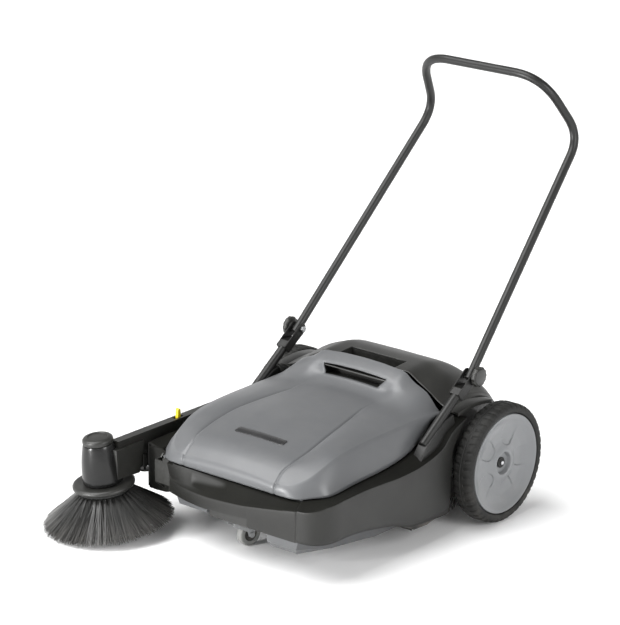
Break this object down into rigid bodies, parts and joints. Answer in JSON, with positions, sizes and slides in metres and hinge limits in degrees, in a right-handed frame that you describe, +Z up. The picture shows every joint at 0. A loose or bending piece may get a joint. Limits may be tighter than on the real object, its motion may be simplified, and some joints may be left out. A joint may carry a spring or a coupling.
{
  "type": "walk-behind sweeper",
  "caption": "Push sweeper: lift-out hopper ahead of a wheel-driven roller brush, disc side brush on a hinged arm, swivel caster and a fold-down tube handle.",
  "frame": {"origin": "on the floor, in the middle of the machine's plan box, under the grip bar's own height axis", "axes": "+Z up, -Y the way it sweeps, +X the machine's left side; the side brush stands at -X"},
  "size_m": [0.8708, 1.2586, 1.04],
  "materials": {
    "hood_grey": "satin mid grey moulded plastic",
    "rim_grey": "satin grey moulded plastic",
    "frame_black": "fine-grained warm black moulded plastic",
    "tube_black": "smooth dark powder coat",
    "zinc": "bright zinc plate",
    "tyre_rubber": "dull black tread rubber",
    "seal_rubber": "dull black sealing rubber",
    "bristle": "black nylon bristle",
    "belt_rubber": "smooth belt rubber",
    "gear_nylon": "natural nylon",
    "lever_yellow": "yellow moulded plastic",
    "caster_grey": "light grey caster rubber"
  },
  "bodies": {
    "chassis": {"frame": "frame_black", "front_lip": "frame_black", "rear_cover": "frame_black", "rear_seal": "seal_rubber", "caster_plate": "zinc", "arm_bracket": "frame_black", "drive_belt": "belt_rubber", "side_guard_left": "frame_black", "side_guard_right": "frame_black", "side_seal_left": "seal_rubber", "side_seal_right": "seal_rubber", "axle_left": "zinc", "axle_right": "zinc", "axle_washer_left": "seal_rubber", "axle_washer_right": "seal_rubber", "axle_bolt_left": "zinc", "axle_bolt_right": "zinc", "roller_bearing_left": "frame_black", "roller_bearing_right": "frame_black", "handle_strut_left": "frame_black", "handle_strut_right": "frame_black", "clamp_bolt_left": "zinc", "clamp_bolt_right": "zinc"},
    "wheel_left": {"tyre_left": "tyre_rubber", "rim_left": "rim_grey", "ring_gear": "gear_nylon"},
    "wheel_right": {"tyre_right": "tyre_rubber", "rim_right": "rim_grey", "drive_pulley": "gear_nylon"},
    "roller": {"roller_shaft": "zinc", "roller_pinion": "gear_nylon", "roller_core": "frame_black", "roller_bristles": "bristle"},
    "hopper": {"hopper_hood": "hood_grey", "hopper_tray": "hood_grey", "tray_lip_seal": "seal_rubber"},
    "caster": {"caster_fork": "zinc", "caster_axle": "zinc"},
    "caster_wheel": {"caster_tyre": "caster_grey", "caster_hub": "seal_rubber"},
    "countershaft": {"counter_shaft": "zinc", "counter_pulley_inner": "gear_nylon", "counter_pulley_outer": "gear_nylon"},
    "arm": {"arm_shell": "frame_black", "head_housing": "frame_black", "head_cap": "frame_black", "arm_belt": "belt_rubber", "height_stop": "frame_black"},
    "side_brush": {"brush_shaft": "zinc", "brush_pulley": "gear_nylon", "brush_flange": "frame_black", "brush_block": "frame_black", "side_bristles": "bristle"},
    "latch_lever": {"latch_lever": "lever_yellow"},
    "stop_screw": {"stop_screw": "frame_black"},
    "handle": {"handle_tube": "tube_black"},
    "knob_left": {"clamp_knob_left": "frame_black", "knob_cap_left": "rim_grey"},
    "knob_right": {"clamp_knob_right": "frame_black", "knob_cap_right": "rim_grey"}
  },
  "joints": [
    {"name": "wheel_left_spin", "type": "hinge", "parent": "chassis", "child": "wheel_left", "pos_m": [0.40745, 0.1971, 0.15], "axis": [1, 0, 0], "continuous": true},
    {"name": "wheel_right_spin", "type": "hinge", "parent": "chassis", "child": "wheel_right", "pos_m": [-0.24855, 0.1971, 0.15], "axis": [1, 0, 0], "continuous": true},
    {"name": "roller_spin", "type": "hinge", "parent": "chassis", "child": "roller", "pos_m": [0.07945, 0.11661, 0.126], "axis": [1, 0, 0], "continuous": true},
    {"name": "hopper_lift", "type": "slide", "parent": "chassis", "child": "hopper", "axis": [0, 0, 1], "range_m": [0, 0.3]},
    {"name": "caster_swivel", "type": "hinge", "parent": "chassis", "child": "caster", "pos_m": [0.0525, -0.34733, 0.07], "axis": [0, 0, 1], "continuous": true},
    {"name": "caster_roll", "type": "hinge", "parent": "caster", "child": "caster_wheel", "pos_m": [0.05745, -0.3259, 0.03], "axis": [0.9744, -0.225, 0], "continuous": true},
    {"name": "countershaft_spin", "type": "hinge", "parent": "chassis", "child": "countershaft", "pos_m": [-0.25055, 0.0021, 0.191], "axis": [1, 0, 0], "continuous": true},
    {"name": "arm_lift", "type": "hinge", "parent": "chassis", "child": "arm", "pos_m": [-0.25055, 0.0021, 0.191], "axis": [-1, 0, 0], "range_deg": [0, 2.4]},
    {"name": "side_brush_spin", "type": "hinge", "parent": "arm", "child": "side_brush", "pos_m": [-0.27255, -0.4669, 0.021], "axis": [-0.0497, -0.1043, 0.9933], "continuous": true},
    {"name": "latch_lever_turn", "type": "hinge", "parent": "arm", "child": "latch_lever", "pos_m": [-0.25055, -0.2399, 0.224], "axis": [1, 0, 0], "range_deg": [0, 50]},
    {"name": "stop_screw_turn", "type": "hinge", "parent": "arm", "child": "stop_screw", "pos_m": [-0.24255, -0.3689, 0.132], "axis": [0, 0, 1], "continuous": true},
    {"name": "handle_fold", "type": "hinge", "parent": "chassis", "child": "handle", "pos_m": [0.07945, 0.1501, 0.375], "axis": [-1, 0, 0], "range_deg": [-130, 0]},
    {"name": "knob_left_turn", "type": "hinge", "parent": "chassis", "child": "knob_left", "pos_m": [0.35545, 0.1501, 0.375], "axis": [1, 0, 0], "continuous": true},
    {"name": "knob_right_turn", "type": "hinge", "parent": "chassis", "child": "knob_right", "pos_m": [-0.19655, 0.1501, 0.375], "axis": [1, 0, 0], "continuous": true}
  ],
  "couplings": [
    {"joint": "roller_spin", "follows": "wheel_left_spin", "ratio": 4.5},
    {"joint": "countershaft_spin", "follows": "wheel_right_spin", "ratio": 2.6111},
    {"joint": "side_brush_spin", "follows": "wheel_right_spin", "ratio": 2.6111}
  ]
}
